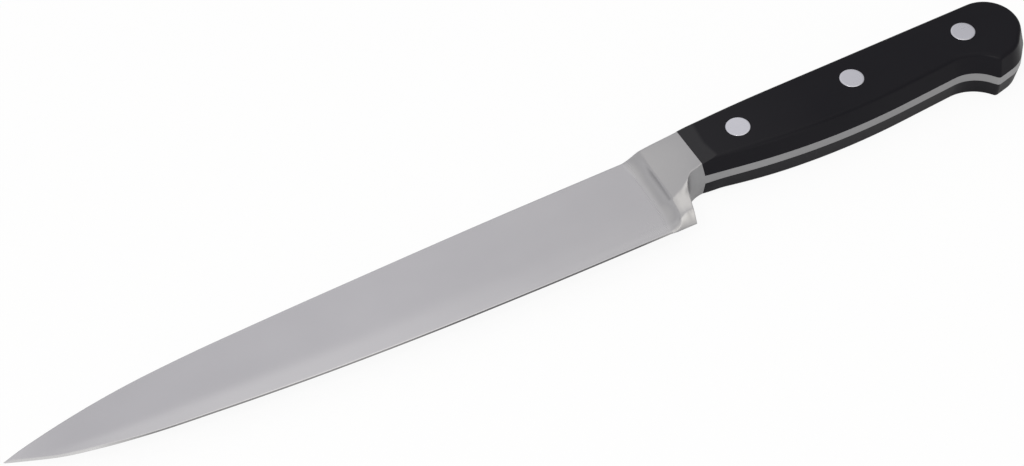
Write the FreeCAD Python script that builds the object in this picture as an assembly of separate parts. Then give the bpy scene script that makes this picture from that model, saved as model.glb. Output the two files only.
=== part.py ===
import FreeCAD, Part
import math
import os

# Carving knife: a forged blade with bolster and full tang, two handle scales and three two-part rivets.
# Millimetres. The knife lies on its right side: X runs from the tip to the butt, Y from the edge to the
# spine and Z up through the thickness. Everything is drawn with X zero at the tip, Y zero on the line of
# the rivets and Z zero on the middle plane of the blade, and moved at the end so that the origin lies
# under the middle of the whole knife, on the surface that it rests on.

# Blade
blade_length = 210.0        # from the tip to the rear corner of the heel
spine_height = 9.3          # spine above the rivet line, where the blade ends
heel_depth = 20.8           # cutting edge below the rivet line, at the heel
tip_depth = 2.94            # tip below the rivet line
tip_height = 0.5            # blunt end of the tip
spine_thickness = 2.5       # at the bolster
tip_thickness = 0.7         # spine at the tip
edge_thickness = 0.5        # where the bevel of the cutting edge starts
bevel_height = 0.6          # bevel of the cutting edge

# Bolster
neck_length = 11.0          # from the rear corner of the heel to the front of the scales
joint_thickness = 12.2      # where the scales start
crease_thickness = 7.8      # where the flat side of the bolster starts
crease_setback = 2.8        # crease in front of the heel's rear corner
sweep_length = 5.7          # hollow curve from the blade to the crease
root_thickness = 0.3        # of that curve's start, inside the blade
heel_drop = 0.15            # heel below the cutting edge
heel_thickness = 1.7        # at its bottom
pad_height = 3.0            # upright foot of the heel
pad_thickness = 4.0         # at the top of that foot
flank_height = 9.6          # hollow flank between the foot and the full thickness
flank_hollow = 0.95         # depth of that flank's hollow
heel_lean = 4.2             # how far the rear of the heel leans back, up to the neck
choil_radius = 8.9          # finger hollow between heel and handle
spine_dip = 0.12            # bolster below the blade's spine at its front

# Handle
scale_length = 113.8        # from the bolster to the butt
handle_thickness = 16.2
tang_thickness = 2.9
joint_height = 9.75         # spine above the rivet line, at the bolster
butt_height = 10.75         # spine above the rivet line, at the butt
joint_depth = 7.2           # belly below the rivet line, at the bolster
belly_depth = 13.7          # corner of the belly lines below the rivet line
belly_radius = 225.0
scoop_depth = 9.55          # corner of the hollow before the beak
scoop_radius = 11.4
beak_depth = 16.65
butt_depth = 14.4           # lower corner of the butt
butt_radius = 12.0          # lower corners of the butt
crown_depth = 5.4           # where the lower curve of the butt reaches its end
crown_radius = 11.4         # upper corner of the butt
facet_inset = 1.4           # how far the side facets lean in
ridge_radius = 1.3          # rounding between the facets and the flat side
ridge_steps = 4
front_bevel_length = 7.3    # slope from the bolster up to the flat side

# Rivets
rivet_setback = 15.5        # first rivet behind the bolster
rivet_margin = 19.2         # last rivet in front of the butt
rivet_names = ("front", "middle", "rear")
head_diameter = 7.4
head_height = 1.7
head_recess = 0.03          # head below the flat side
sleeve_diameter = 5.0
post_diameter = 3.2
sleeve_floor = 0.6          # clear space under the end of the post
rivet_clearance = 0.04      # on each radius
cut_overrun = 2.0           # how far the cutting shapes reach past what they cut

# Shares along the blade: of its length from the tip, of the spine's rise and of the edge's fall
blade_shares = (
    (0.03, 0.150, 0.145),
    (0.07, 0.314, 0.325),
    (0.12, 0.485, 0.466),
    (0.19, 0.662, 0.600),
    (0.28, 0.787, 0.708),
    (0.40, 0.866, 0.823),
    (0.55, 0.928, 0.918),
    (0.75, 0.986, 0.980),
)
bevel_most_share = 0.4      # most of a section's height that the bevel may take, at the tip
blade_end_share = 0.6       # of the crease's setback, where the blade ends inside the bolster
most_arc_share = 0.98       # most of a side of an outline that the arcs at its ends may take

# Shares of the scale's length, from the bolster to the corners of the handle's outline
belly_share = 0.350
scoop_share = 0.807
beak_share = 0.8545
butt_share = 0.934

# Worked out from the sizes above
heel_x = blade_length
crease_x = heel_x - crease_setback
root_x = crease_x - sweep_length
joint_x = heel_x + neck_length
butt_x = joint_x + scale_length
half_handle = handle_thickness / 2
half_tang = tang_thickness / 2
half_joint = joint_thickness / 2
half_crease = crease_thickness / 2
half_root = root_thickness / 2
heel_y = -heel_depth - heel_drop
rivet_pitch = (scale_length - rivet_setback - rivet_margin) / (len(rivet_names) - 1)
rivet_xs = [joint_x + rivet_setback + step * rivet_pitch for step in range(len(rivet_names))]
origin = FreeCAD.Vector(butt_x / 2, (butt_height + heel_y) / 2, -half_handle)
up = FreeCAD.Vector(0, 0, 1)


def unit(dx, dy):
    length = math.hypot(dx, dy)
    return dx / length, dy / length


def corner_arc(before, corner, after, radius):
    """Centre, start and end of the arc that rounds a corner, with the side it turns to (1 is left)."""
    ax, ay = unit(corner[0] - before[0], corner[1] - before[1])
    bx, by = unit(after[0] - corner[0], after[1] - corner[1])
    turn = math.atan2(ax * by - ay * bx, ax * bx + ay * by)
    reach = radius * math.tan(abs(turn) / 2)
    side = math.copysign(1, turn)
    start = (corner[0] - ax * reach, corner[1] - ay * reach)
    end = (corner[0] + bx * reach, corner[1] + by * reach)
    centre = (start[0] - ay * radius * side, start[1] + ax * radius * side)
    return centre, start, end, side


def corner_reach(before, corner, after):
    """Length of side that an arc of radius 1 takes up at a corner."""
    ax, ay = unit(corner[0] - before[0], corner[1] - before[1])
    bx, by = unit(after[0] - corner[0], after[1] - corner[1])
    return math.tan(abs(math.atan2(ax * by - ay * bx, ax * bx + ay * by)) / 2)


def fitted_radii(corners):
    """The corners' radii, with two arcs that would meet on a side made smaller until they fit it."""
    count = len(corners)
    reaches = [corner_reach(corners[i - 1], corners[i], corners[(i + 1) % count]) for i in range(count)]
    radii = [corner[2] for corner in corners]
    for i in range(count):
        j = (i + 1) % count
        room = most_arc_share * math.dist(corners[i][:2], corners[j][:2])
        need = reaches[i] * radii[i] + reaches[j] * radii[j]
        if need > room:
            radii[i] *= room / need
            radii[j] *= room / need
    return radii


def outline(corners, height):
    """Closed wire through corners of (x, y, radius), at one height."""
    count = len(corners)
    radii = fitted_radii(corners)
    edges = []
    points = []
    for i, corner in enumerate(corners):
        if radii[i] == 0:
            points.append((corner[:2], None, corner[:2]))
            continue
        centre, start, end, _ = corner_arc(corners[i - 1], corner, corners[(i + 1) % count], radii[i])
        ux, uy = unit(corner[0] - centre[0], corner[1] - centre[1])
        points.append((start, (centre[0] + ux * radii[i], centre[1] + uy * radii[i]), end))
    for i, (start, middle, end) in enumerate(points):
        if middle:
            arc = [FreeCAD.Vector(x, y, height) for x, y in (start, middle, end)]
            edges.append(Part.Arc(*arc).toShape())
        following = points[(i + 1) % count][0]
        edges.append(Part.makeLine(FreeCAD.Vector(*end, height), FreeCAD.Vector(*following, height)))
    return Part.Wire(edges)


def inset_corners(corners, insets):
    """Corners of an anticlockwise outline with each side moved in by its own inset."""
    count = len(corners)
    lines = []
    for i in range(count):
        x, y = corners[i][:2]
        dx, dy = unit(corners[(i + 1) % count][0] - x, corners[(i + 1) % count][1] - y)
        lines.append((x - dy * insets[i], y + dx * insets[i], dx, dy))
    moved = []
    for i in range(count):
        x1, y1, ax, ay = lines[i - 1]
        x2, y2, bx, by = lines[i]
        cross = ax * by - ay * bx
        along = ((x2 - x1) * by - (y2 - y1) * bx) / cross
        radius = corners[i][2]
        if radius:
            radius -= math.copysign(insets[i], cross)
        moved.append((x1 + ax * along, y1 + ay * along, radius))
    return moved


def prism(points, along):
    """Solid from a polygon of points, pushed along a vector."""
    return Part.Face(Part.makePolygon(points + points[:1])).extrude(along)


def handle_corners():
    """Anticlockwise outline of the tang and scales, from the belly at the bolster to the spine there."""
    return [
        (joint_x, -joint_depth, 0),
        (joint_x + belly_share * scale_length, -belly_depth, belly_radius),
        (joint_x + scoop_share * scale_length, -scoop_depth, scoop_radius),
        (joint_x + beak_share * scale_length, -beak_depth, 0),
        (joint_x + butt_share * scale_length, -butt_depth, butt_radius),
        (butt_x, -crown_depth, butt_radius),
        (butt_x, butt_height, crown_radius),
        (joint_x, joint_height, 0),
    ]


def blade_section(x, top, bottom, half_spine):
    """Corners of a section across the blade: spine, two flanks and the bevel of the edge."""
    bevel = min(bevel_height, (top - bottom) * bevel_most_share)
    half_edge = min(edge_thickness / 2, half_spine)
    profile = (
        (top, half_spine),
        (bottom + bevel, half_edge),
        (bottom, 0),
        (bottom + bevel, -half_edge),
        (top, -half_spine),
    )
    return [FreeCAD.Vector(x, y, z) for y, z in profile]


def blade_sections():
    """Sections of the blade from its tip to its end inside the bolster."""
    rise = spine_height + tip_depth
    fall = heel_depth - tip_depth
    half_tip = tip_height / 2
    end_x = crease_x + blade_end_share * crease_setback
    rows = [(0, half_tip - tip_depth, -half_tip - tip_depth)]
    for length_share, rise_share, fall_share in blade_shares:
        rows.append((length_share * blade_length, rise * rise_share - tip_depth, -fall * fall_share - tip_depth))
    rows.append((end_x, spine_height, -heel_depth))
    sections = []
    for x, top, bottom in rows:
        thickness = tip_thickness + (spine_thickness - tip_thickness) * x / end_x
        sections.append(blade_section(x, top, bottom, thickness / 2))
    return sections


def rail(points):
    """Smooth edge through points, whose parameter runs with X."""
    curve = Part.BSplineCurve()
    curve.interpolate(Points=points, Parameters=[point.x / points[-1].x for point in points])
    return curve.toShape()


def blade_blank():
    """The ground blade, from the tip into the bolster."""
    sections = blade_sections()
    rails = [rail(list(points)) for points in zip(*sections)]
    faces = [Part.makeRuledSurface(rails[i - 1], rails[i]) for i in range(len(rails))]
    for points in (sections[0], sections[-1]):
        faces.append(Part.Face(Part.makePolygon(points + points[:1])))
    shell = Part.makeShell(faces)
    shell.sewShape()
    blank = Part.makeSolid(shell)
    return blank if blank.Volume > 0 else blank.reversed()


def bolster_side(inset, height):
    """Side outline of the bolster at one height, with its spine and finger hollow moved in by the inset."""
    neck_y = -joint_depth + inset
    lean = heel_lean * (neck_y - heel_y) / (-joint_depth - heel_y)
    corners = [
        (root_x, heel_y, 0),
        (heel_x, heel_y, 0),
        (heel_x + lean, neck_y, choil_radius),
        (joint_x, neck_y, 0),
        (joint_x, joint_height - inset, 0),
        (root_x, spine_height - spine_dip - inset, 0),
    ]
    return outline(corners, height)


def bolster_plan():
    """Plan of the bolster: a hollow sweep out of the blade, then flat sides widening to the scales."""
    rise = half_crease - half_root
    radius = (sweep_length ** 2 + rise ** 2) / (2 * rise)
    angle = math.asin(sweep_length / radius) / 2
    edges = []
    low = -heel_depth - cut_overrun
    for side in (1, -1):
        start = FreeCAD.Vector(root_x, low, side * half_root)
        swell = half_root + radius * (1 - math.cos(angle))
        middle = FreeCAD.Vector(root_x + radius * math.sin(angle), low, side * swell)
        crease = FreeCAD.Vector(crease_x, low, side * half_crease)
        joint = FreeCAD.Vector(joint_x, low, side * half_joint)
        edges += [Part.Arc(start, middle, crease).toShape(), Part.makeLine(crease, joint)]
    for x, half in ((root_x, half_root), (joint_x, half_joint)):
        edges.append(Part.makeLine(FreeCAD.Vector(x, low, half), FreeCAD.Vector(x, low, -half)))
    face = Part.Face(Part.Wire(Part.__sortEdges__(edges)))
    return face.extrude(FreeCAD.Vector(0, butt_height - low + cut_overrun, 0))


def bolster_front():
    """Front view of the bolster: full thickness above, a hollow flank, then the foot of the heel."""
    pad_y = heel_y + pad_height
    flank_y = pad_y + flank_height
    top = butt_height + cut_overrun
    half_full = half_joint + cut_overrun
    edges = []
    for side in (1, -1):
        foot = FreeCAD.Vector(root_x, heel_y, side * heel_thickness / 2)
        pad = FreeCAD.Vector(root_x, pad_y, side * pad_thickness / 2)
        flank = FreeCAD.Vector(root_x, flank_y, side * half_joint)
        full = FreeCAD.Vector(root_x, flank_y, side * half_full)
        crown = FreeCAD.Vector(root_x, top, side * half_full)
        hollow = (pad + flank) / 2 - up * side * flank_hollow
        edges += [Part.makeLine(foot, pad), Part.Arc(pad, hollow, flank).toShape()]
        edges += [Part.makeLine(flank, full), Part.makeLine(full, crown)]
    for y, half in ((heel_y, heel_thickness / 2), (top, half_full)):
        edges.append(Part.makeLine(FreeCAD.Vector(root_x, y, half), FreeCAD.Vector(root_x, y, -half)))
    face = Part.Face(Part.Wire(Part.__sortEdges__(edges)))
    return face.extrude(FreeCAD.Vector(joint_x - root_x, 0, 0))


def bolster():
    """Bolster with its heel: where the side, plan and front views meet."""
    lean = facet_inset * (half_joint - half_tang) / (half_handle - half_tang)
    rim = [(lean, -half_joint), (0, -half_tang), (0, half_tang), (lean, half_joint)]
    sides = Part.makeLoft([bolster_side(inset, height) for inset, height in rim], True, True)
    return sides.common(bolster_plan()).common(bolster_front())


def rivet_bore(diameter, low, high):
    """One cutting cylinder on each rivet's axis."""
    radius = diameter / 2 + rivet_clearance
    return [Part.makeCylinder(radius, high - low, FreeCAD.Vector(x, 0, low), up) for x in rivet_xs]


def forged_blade():
    """Blade, bolster and tang as one forging, with the rivets' holes in the tang."""
    tang = Part.Face(outline(handle_corners(), -half_tang)).extrude(up * tang_thickness)
    holes = rivet_bore(sleeve_diameter, -half_tang - cut_overrun, half_tang + cut_overrun)
    tang = tang.cut(holes)
    return blade_blank().fuse([bolster(), tang]).removeSplitter()


def scale_levels():
    """Inset and height of the outlines that a scale is built up from, up round the ridge to the flat."""
    centre, start, end, _ = corner_arc(
        (0, half_tang), (facet_inset, half_handle), (facet_inset + half_handle, half_handle), ridge_radius)
    first = math.atan2(start[1] - centre[1], start[0] - centre[0])
    last = math.atan2(end[1] - centre[1], end[0] - centre[0])
    levels = [(0, half_tang)]
    for step in range(ridge_steps + 1):
        angle = first + (last - first) * step / ridge_steps
        levels.append((centre[0] + ridge_radius * math.cos(angle), centre[1] + ridge_radius * math.sin(angle)))
    return levels


def front_bevel():
    """Wedge that slopes the front of a scale down to the bolster."""
    slope = (half_handle - half_joint) / front_bevel_length
    rise = slope * cut_overrun
    front = joint_x - cut_overrun
    rear = joint_x + front_bevel_length + cut_overrun
    low = -beak_depth - cut_overrun
    points = [(front, half_joint - rise), (rear, half_handle + rise), (front, half_handle + rise)]
    points = [FreeCAD.Vector(x, low, z) for x, z in points]
    return prism(points, FreeCAD.Vector(0, butt_height - low + cut_overrun, 0))


def left_scale():
    """Upper handle scale: flat inside, facets leaning in to a flat side, and the rivets' seats."""
    corners = handle_corners()
    wires = []
    for inset, height in scale_levels():
        insets = [inset] * (len(corners) - 1) + [0]
        wires.append(outline(inset_corners(corners, insets), height))
    cutters = [front_bevel()]
    cutters += rivet_bore(sleeve_diameter, -cut_overrun, half_handle + cut_overrun)
    cutters += rivet_bore(head_diameter, half_handle - head_recess - head_height, half_handle + cut_overrun)
    return Part.makeLoft(wires, True, True).cut(cutters)


def rivet_post(x):
    """Solid half of a rivet: its head in the left scale and its post, down into the sleeve."""
    seat = half_handle - head_recess - head_height
    low = -seat + sleeve_floor
    head = Part.makeCylinder(head_diameter / 2, head_height, FreeCAD.Vector(x, 0, seat), up)
    post = Part.makeCylinder(post_diameter / 2, seat - low, FreeCAD.Vector(x, 0, low), up)
    return head.fuse(post)


def rivet_sleeve(x):
    """Hollow half of a rivet: its head in the right scale and its sleeve, up to the other head."""
    seat = half_handle - head_recess - head_height
    top = seat - sleeve_floor
    head = Part.makeCylinder(head_diameter / 2, head_height, FreeCAD.Vector(x, 0, -seat - head_height), up)
    sleeve = Part.makeCylinder(sleeve_diameter / 2, top + seat, FreeCAD.Vector(x, 0, -seat), up)
    bore_radius = post_diameter / 2 + rivet_clearance
    bore = Part.makeCylinder(bore_radius, top + seat + cut_overrun, FreeCAD.Vector(x, 0, -seat), up)
    return head.fuse(sleeve).cut(bore)


def build():
    """Every piece by its name."""
    upper = left_scale()
    pieces = {
        "blade": forged_blade(),
        "left_scale": upper,
        "right_scale": upper.mirror(FreeCAD.Vector(), up),
    }
    for name, x in zip(rivet_names, rivet_xs):
        pieces[name + "_rivet_post"] = rivet_post(x)
        pieces[name + "_rivet_sleeve"] = rivet_sleeve(x)
    return pieces


os.makedirs("parts", exist_ok=True)
for name, shape in build().items():
    shape.translate(-origin)
    shape.exportStep(os.path.join("parts", name + ".step"))
    print(name, "solids", len(shape.Solids), "valid", shape.isValid(), "volume", round(shape.Volume, 1))
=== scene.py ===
import math

import bmesh
import bpy
import numpy as np
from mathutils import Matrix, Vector


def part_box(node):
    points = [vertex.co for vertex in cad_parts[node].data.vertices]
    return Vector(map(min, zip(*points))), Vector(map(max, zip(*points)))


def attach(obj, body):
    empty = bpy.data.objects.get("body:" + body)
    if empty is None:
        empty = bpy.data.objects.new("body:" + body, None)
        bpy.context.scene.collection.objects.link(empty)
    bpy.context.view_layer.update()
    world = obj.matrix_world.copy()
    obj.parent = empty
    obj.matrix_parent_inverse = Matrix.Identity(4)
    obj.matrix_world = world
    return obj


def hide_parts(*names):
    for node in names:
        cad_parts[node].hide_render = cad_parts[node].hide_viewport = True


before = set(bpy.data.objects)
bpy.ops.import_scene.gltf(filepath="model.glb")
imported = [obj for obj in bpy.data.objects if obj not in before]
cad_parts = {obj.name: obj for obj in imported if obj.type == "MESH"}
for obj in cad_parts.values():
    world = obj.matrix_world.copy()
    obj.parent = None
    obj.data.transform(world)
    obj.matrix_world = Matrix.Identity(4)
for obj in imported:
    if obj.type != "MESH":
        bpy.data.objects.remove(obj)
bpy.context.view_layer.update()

# Carving knife lying on its right side. Shapes are drawn in millimetres, with X zero at the tip, Y zero on
# the line of the rivets and Z zero on the middle plane of the blade, and placed in metres at the end.
MM = 0.001

# Places and sizes taken from the frame
blade_low, blade_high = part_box("blade")
scale_low, scale_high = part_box("left_scale")
head_low, head_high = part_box("front_rivet_post")
origin = Vector((blade_low.x, (head_low.y + head_high.y) / 2, (blade_low.z + blade_high.z) / 2))
joint_x = (scale_low.x - origin.x) / MM
butt_x = (scale_high.x - origin.x) / MM
scale_length = butt_x - joint_x
half_handle = (scale_high.z - origin.z) / MM
half_tang = (scale_low.z - origin.z) / MM
half_joint = (blade_high.z - origin.z) / MM
heel_y = (blade_low.y - origin.y) / MM
head_radius = (head_high.x - head_low.x) / 2 / MM
head_top = (head_high.z - origin.z) / MM

# Blade
blade_length = 210.0  # from the tip to the rear corner of the heel
blade_end = 208.9  # X where the blade's own shape ends, inside the bolster
spine_height = 9.3  # spine above the rivet line, where the blade ends
heel_depth = 20.8  # cutting edge below the rivet line, at the heel
tip_depth = 2.94  # tip below the rivet line
half_spine = 1.25  # half the thickness of the spine, at the bolster
half_tip = 0.35  # the same, at the tip
half_edge = 0.25  # half the thickness where the edge's bevel starts
tip_taper = 5.0  # length over which the tip thins to a point
tip_bevel = 0.75  # bevel of the cutting edge near the tip
edge_bevel = 0.40  # the same, along the rest of the edge
bevel_change = (24.0, 40.0)  # where the one turns into the other
edge_darkens = (110.0, 132.0)  # where the painted shade along the edge gets darker
edge_fades = (192.0, 202.0)  # where that painted shade turns into the finish of the sides
spine_round = 0.25  # along the spine
joint_round = 0.45  # the same, where the bolster meets the scales
blade_shares = (  # of the length, of the spine's rise and of the edge's fall
    (0.03, 0.150, 0.145),
    (0.07, 0.314, 0.325),
    (0.12, 0.485, 0.466),
    (0.19, 0.662, 0.600),
    (0.28, 0.787, 0.708),
    (0.40, 0.866, 0.823),
    (0.55, 0.928, 0.918),
    (0.75, 0.986, 0.980),
)

# Grind of the blade's sides: extra tilt near the spine and in the lower band, as slopes
band_start_share = 0.58  # of the height, down to where the band starts
band_full_share = 0.84  # the same, to where its tilt is full
band_tilt = 0.078
band_tilt_at_heel = 0.004
band_grown_x = blade_length / 6  # X by which its tilt has grown
band_falls_x = blade_length / 4  # X from which it falls to that at the heel
spine_tilt = 0.010
spine_tilt_share = 0.5  # of the height, over which that ends

# Line where the blade's grind ends and the bolster's duller finish starts
finish_x = 204.5  # on the rivet line
finish_bend = 0.0051  # how it bends away from there, per millimetre
finish_blend = (-2.1, 0.5)  # where the finish changes, off that line
painted_shade_reach = 90.0  # how far in front of that line the blade's colour starts to darken with painted shade towards the heel, while its roughness rises
painted_shade_share = 0.38  # share of the change in colour and roughness that this painted shade makes
foot_finish = ((-20.3, -18.9), (-18.3, -16.9))  # Y over which the heel's brighter foot starts and ends

# Bolster
sweep_lead = 1.35  # how far in front of the finish line the sweep starts
sweep_lead_top = 2.35  # the same, at the spine
sweep_power = 2.5  # how hollow the sweep is
sweep_power_top = 1.6  # the same, at the spine
sweep_power_heel = 1.7  # the same, at the heel
sweep_heel = (-16.5, -20.5)  # Y over which it changes to that
crease_places = (  # Y and X of the crease where the sweep ends
    (-20.95, 203.4),
    (-20.05, 204.9),
    (-18.10, 206.2),
    (-15.50, 206.95),
    (-11.50, 207.3),
    (0.00, 207.75),
    (9.30, 207.6),
)
bolster_x = 200.8  # where the bolster's foot grows out of the cutting edge
half_crease = 3.7  # on the rivet line
crease_lean = 0.055  # how the crease thickens towards the spine, as a slope
crease_round = 0.4  # along the crease
crease_round_top = 0.9  # the same, at the spine
half_heel = 0.15  # at the bottom of the heel
half_pad = 2.0  # where the foot of the heel ends and the flank starts
half_pad_front = 1.45  # the same, at its front
pad_growth = (204.5, 209.0)  # X over which it grows
pad_places = (  # X, and the height of the heel's rounded foot there
    (203.5, 1.80),
    (204.7, 2.00),
    (205.8, 2.30),
    (207.4, 2.95),
    (209.3, 3.50),
    (211.0, 3.50),
)
pad_bulge = 1.3  # how much steeper the foot is at its lower end
pad_round = 0.35  # between the foot and the flank
flank_lift = 3.0  # height above the heel where the hollow flank starts
flank_bend = 0.0295  # how fast its slope grows, at the crease
flank_bend_rear = 0.0405  # the same, further back
flank_bend_change = (207.0, 212.0)  # X over which it changes
flank_reach = 3.0  # over which its rounding grows behind the crease
flank_round = 0.5  # between the flank and the flat side
flank_round_front = 0.08  # between the flank and the sweep
heel_lean = 4.2  # how far the rear of the heel leans back, up to the neck
choil_radius = 8.9  # finger hollow between heel and handle
lower_round = 0.22  # edge of the finger hollow and of the heel
spine_dip = 0.12  # bolster below the blade's spine at its front
joint_height = 9.75  # spine above the rivet line, at the scales
joint_depth = 7.2  # belly below the rivet line, at the scales
joint_slant = (0.33, -0.40, -0.10)  # the joint's X at the tang, left and right side, off the frame's
joint_lean = 0.027  # how the joint leans back towards the spine, as a slope
joint_slant_reach = 4.0  # how far from the joint the shapes follow it
hollow_rise = 1.3  # how much higher the finger hollow is ground at the left side
hollow_rise_spans = ((210.0, 215.0), (215.5, 219.5))  # X over which that starts and ends
hollow_drop = 1.1  # how much lower it is ground at the right side
hollow_drop_spans = ((210.0, 214.0), (218.0, 228.0))  # the same
hollow_start = (-15.0, -10.0)  # Y over which both start, above the heel's foot
tang_overlap = 0.5  # how far the tang's drawn shape reaches into the bolster

# Handle
butt_height = 10.75  # spine above the rivet line, at the butt
belly_depth = 13.7  # corner of the belly lines below the rivet line
belly_radius = 225.0
scoop_depth = 9.55  # corner of the hollow before the beak
scoop_radius = 11.4
beak_depth = 16.65
beak_round = 1.1
butt_depth = 14.4  # corner behind the beak
crown_depth = 5.4  # lower corner of the butt's end
butt_radius = 12.0  # of both
crown_radius = 11.4  # upper corner of the butt's end
least_round = 1.1  # of a corner that an inset has made smaller
belly_share = 0.350  # where these corners lie, as shares of the scale's length
scoop_share = 0.807
beak_share = 0.8545
butt_share = 0.934
facet_inset = 1.4  # how far the side facets lean in
ridge_radius = 1.3  # between the facets and the flat side
flat_margin = 0.25  # from the ridge to a ring on the flat side
front_slope = 0.262  # of the bevel at the front of a scale
front_slope_lean = 0.0055  # how much flatter it gets for each millimetre above the rivet line
front_blend = (0.19, 0.10)  # below the bevel's plane, over which its duller finish and its grey, partly painted light, start
painted_sheen_reach = (5.0, 40.0)  # behind the joint, where the painted sheen on the plastic's front fades
painted_sheen_height = (6.4, 7.0)  # Z over which that painted sheen starts, above the facets
front_ease = 1.3  # how far the flat side sinks towards that bevel, on the rivet line
front_ease_lean = 0.015  # how much further it sinks towards the spine, as a slope
front_ease_length = 30.0  # over which it sinks
front_ridge_length = 8.0  # over which the ridge grows from the bolster's rounding to its own
front_spine_ease = 0.15  # how far the spine's edge draws in at the joint
front_round = 0.45  # between the bevel and the flat side

# Rivets
rivet_names = ("front", "middle", "rear")
head_height = 1.7
head_edge = 0.14  # rounding of a head
sleeve_radius = 2.5
post_radius = 1.6
sleeve_floor = 0.6  # clear space at the end of the post and of the sleeve
clearance = 0.04  # round the rivets, on each radius
seat_chamfer = 0.10
hole_reach = 3.0  # how far the cutting shapes reach past what they cut

# Fineness of the meshes
tip_sections = 28
blade_sections = 124
heel_sections = 70
rear_sections = 56  # over the leaning rear of the heel
neck_sections = 32
lower_rows, upper_rows = 56, 28  # of a section
lower_rows_share = 0.45  # of its height that the lower ones cover
end_rows = 6  # round the upper and lower end of a section
rim_steps = 8  # across the spine and the narrow sides
side_steps = 24  # of each straight side of the handle's outline
arc_steps = 20  # of each of its arcs
facet_rings = (6, 10)  # of a scale, in the lower and the upper part of its facet
facet_breaks = (1.0, 0.8)  # below the bolster's side, where the one ends and the other starts
ridge_rings = 12
front_cuts = 80  # cross cuts that let the front of a scale bend
front_cut_power = 1.5  # how much closer they are at the joint
cut_tolerance = 1e-7  # in metres
head_rings = (0, 0.3, 0.6, 0.85)  # shares of a rivet head's radius
head_edge_steps = 6
lathe_steps = 64
blade_sharp_angle = 42  # past which an edge is sharp, in degrees
handle_sharp_angle = 38  # the same, on scales and rivets

# Finishes, most of them between two colours and two values of roughness
blade_colours = ((0.567, 0.560, 0.578), (0.603, 0.596, 0.614))
bolster_colours = ((0.438, 0.434, 0.439), (0.474, 0.470, 0.475))
foot_colours = ((0.500, 0.496, 0.496), (0.536, 0.532, 0.532))
steel_roughness = (0.21, 0.27)
bolster_dullness = 0.05  # added to that behind the finish line
line_gloss = 0.025  # by which the roughness follows the grinding lines
steel_lines = (3800, 90, 3800)  # counts per metre along X, Y and Z, here and below
steel_clouds = (45, 70, 70)
steel_relief = 6e-7  # depth in metres, here and below
tip_edge_colours = ((0.58, 0.58, 0.59), (0.66, 0.66, 0.67))
edge_painted_shades = (  # where each of the others starts and is full, and its colours: painted shade along the edge, fading out at the heel
    (bevel_change, ((0.22, 0.22, 0.225), (0.28, 0.28, 0.285))),
    (edge_darkens, ((0.10, 0.10, 0.105), (0.15, 0.15, 0.155))),
    (edge_fades, ((0.32, 0.317, 0.323), (0.38, 0.377, 0.383))),
)
edge_roughness = (0.22, 0.34)
edge_scratches = (5000, 600, 600)
edge_relief = 1.5e-6
tang_finish_and_shade = (  # colours, roughness, lines and relief; the colours are partly the ground steel's and partly painted shade, darker where the strip between the scales and the finger hollow reflect the shaded floor
    ((0.28, 0.28, 0.288), (0.36, 0.36, 0.368)), (0.34, 0.44), (120, 120, 5000), 3e-6)
rivet_finish = (  # the same
    ((0.645, 0.645, 0.695), (0.70, 0.70, 0.75)), (0.25, 0.32), (300, 4000, 300), 1.5e-6)
brush_gloss = 0.05  # by which their roughness follows their lines
black_colours = ((0.0105, 0.0102, 0.0130), (0.0128, 0.0124, 0.0153))
# painted sheen: lighter black for the front of the flat side, where it sinks and catches more light
painted_sheen_colours = ((0.0160, 0.0156, 0.0184), (0.0186, 0.0182, 0.0211))
# grey of the front bevel: partly the duller ground plastic, partly painted light that the sloping bevel
# catches
bevel_colours = ((0.0285, 0.0282, 0.031), (0.038, 0.0377, 0.0405))
plastic_roughness = (0.28, 0.36)
bevel_dullness = 0.12  # added to that on the bevel
grain_gloss = 0.04  # by which the roughness follows the grain
plastic_specular = 0.06
plastic_grain = (2200, 2200, 2200)
plastic_clouds = (55, 90, 90)
plastic_relief = 4e-6
paper_colours = ((0.93, 0.93, 0.93), (0.96, 0.96, 0.96))
paper_fibres = (300, 300, 300)
paper_roughness = 0.9
paper_specular = 0.1

# Stage
floor_size = 40.0  # in metres
floor_gap = 0.00005  # between the floor and the knife, in metres
floor_lift = 0.92  # share of plain white in what the camera sees of the floor
floor_shine = 0.25  # the same, in reflections
sky = (  # height of the direction, less its lean, and its colour
    (0.00, (0.20, 0.20, 0.21)),
    (0.20, (0.30, 0.30, 0.31)),
    (0.34, (0.86, 0.855, 0.87)),
    (0.48, (0.90, 0.895, 0.91)),
    (0.64, (0.73, 0.725, 0.74)),
    (0.76, (0.63, 0.625, 0.64)),
    (0.82, (0.63, 0.625, 0.64)),
    (0.90, (0.87, 0.865, 0.875)),
    (1.00, (0.89, 0.88, 0.87)),
)
sky_lean = 0.5  # how much lower the sky counts towards the back
sky_start = 0.3  # what is added to that height
sky_sides = (  # X of two directions, and the factor of the sky's strength past the second
    (0.10, 0.34, 1.17),
    (0.40, 0.50, 0.46),
)
sky_front = (-0.45, -0.80, 0.75)  # the same for Y, towards the camera
lamps = (  # place, width and height in metres, colour and power in watts
    ("softbox", (0.36, -0.03, 1.0), (1.0, 0.58), (1.0, 0.97, 0.90), 0.75),
    ("side_light", (-0.595, -0.43, 0.94), (0.28, 0.28), (1.0, 0.99, 0.96), 3.2),
)

# Camera: the photo's view, with its angles in degrees
image_width = 1024
focal_pixels = 3790
view_azimuth = -29.8
view_elevation = 47.3
view_distance = 1.0737  # in metres
view_from_rivet = (-0.0781, -0.00414, -0.0001)  # point looked at, from the front rivet's head, in metres
sensor_width = 36.0


def placed(points):
    """Drawn millimetres as metres in the part's frame."""
    return np.asarray(points, float) * MM + np.array(origin)


def smooth_step(value, low, high):
    share = np.clip((value - low) / (high - low), 0, 1)
    return share * share * (3 - 2 * share)


def smooth_min(a, b, width):
    """The smaller of two heights, with the corner between them rounded over a width."""
    share = np.clip(0.5 + 0.5 * (b - a) / width, 0, 1)
    return b + (a - b) * share - width * share * (1 - share)


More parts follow.
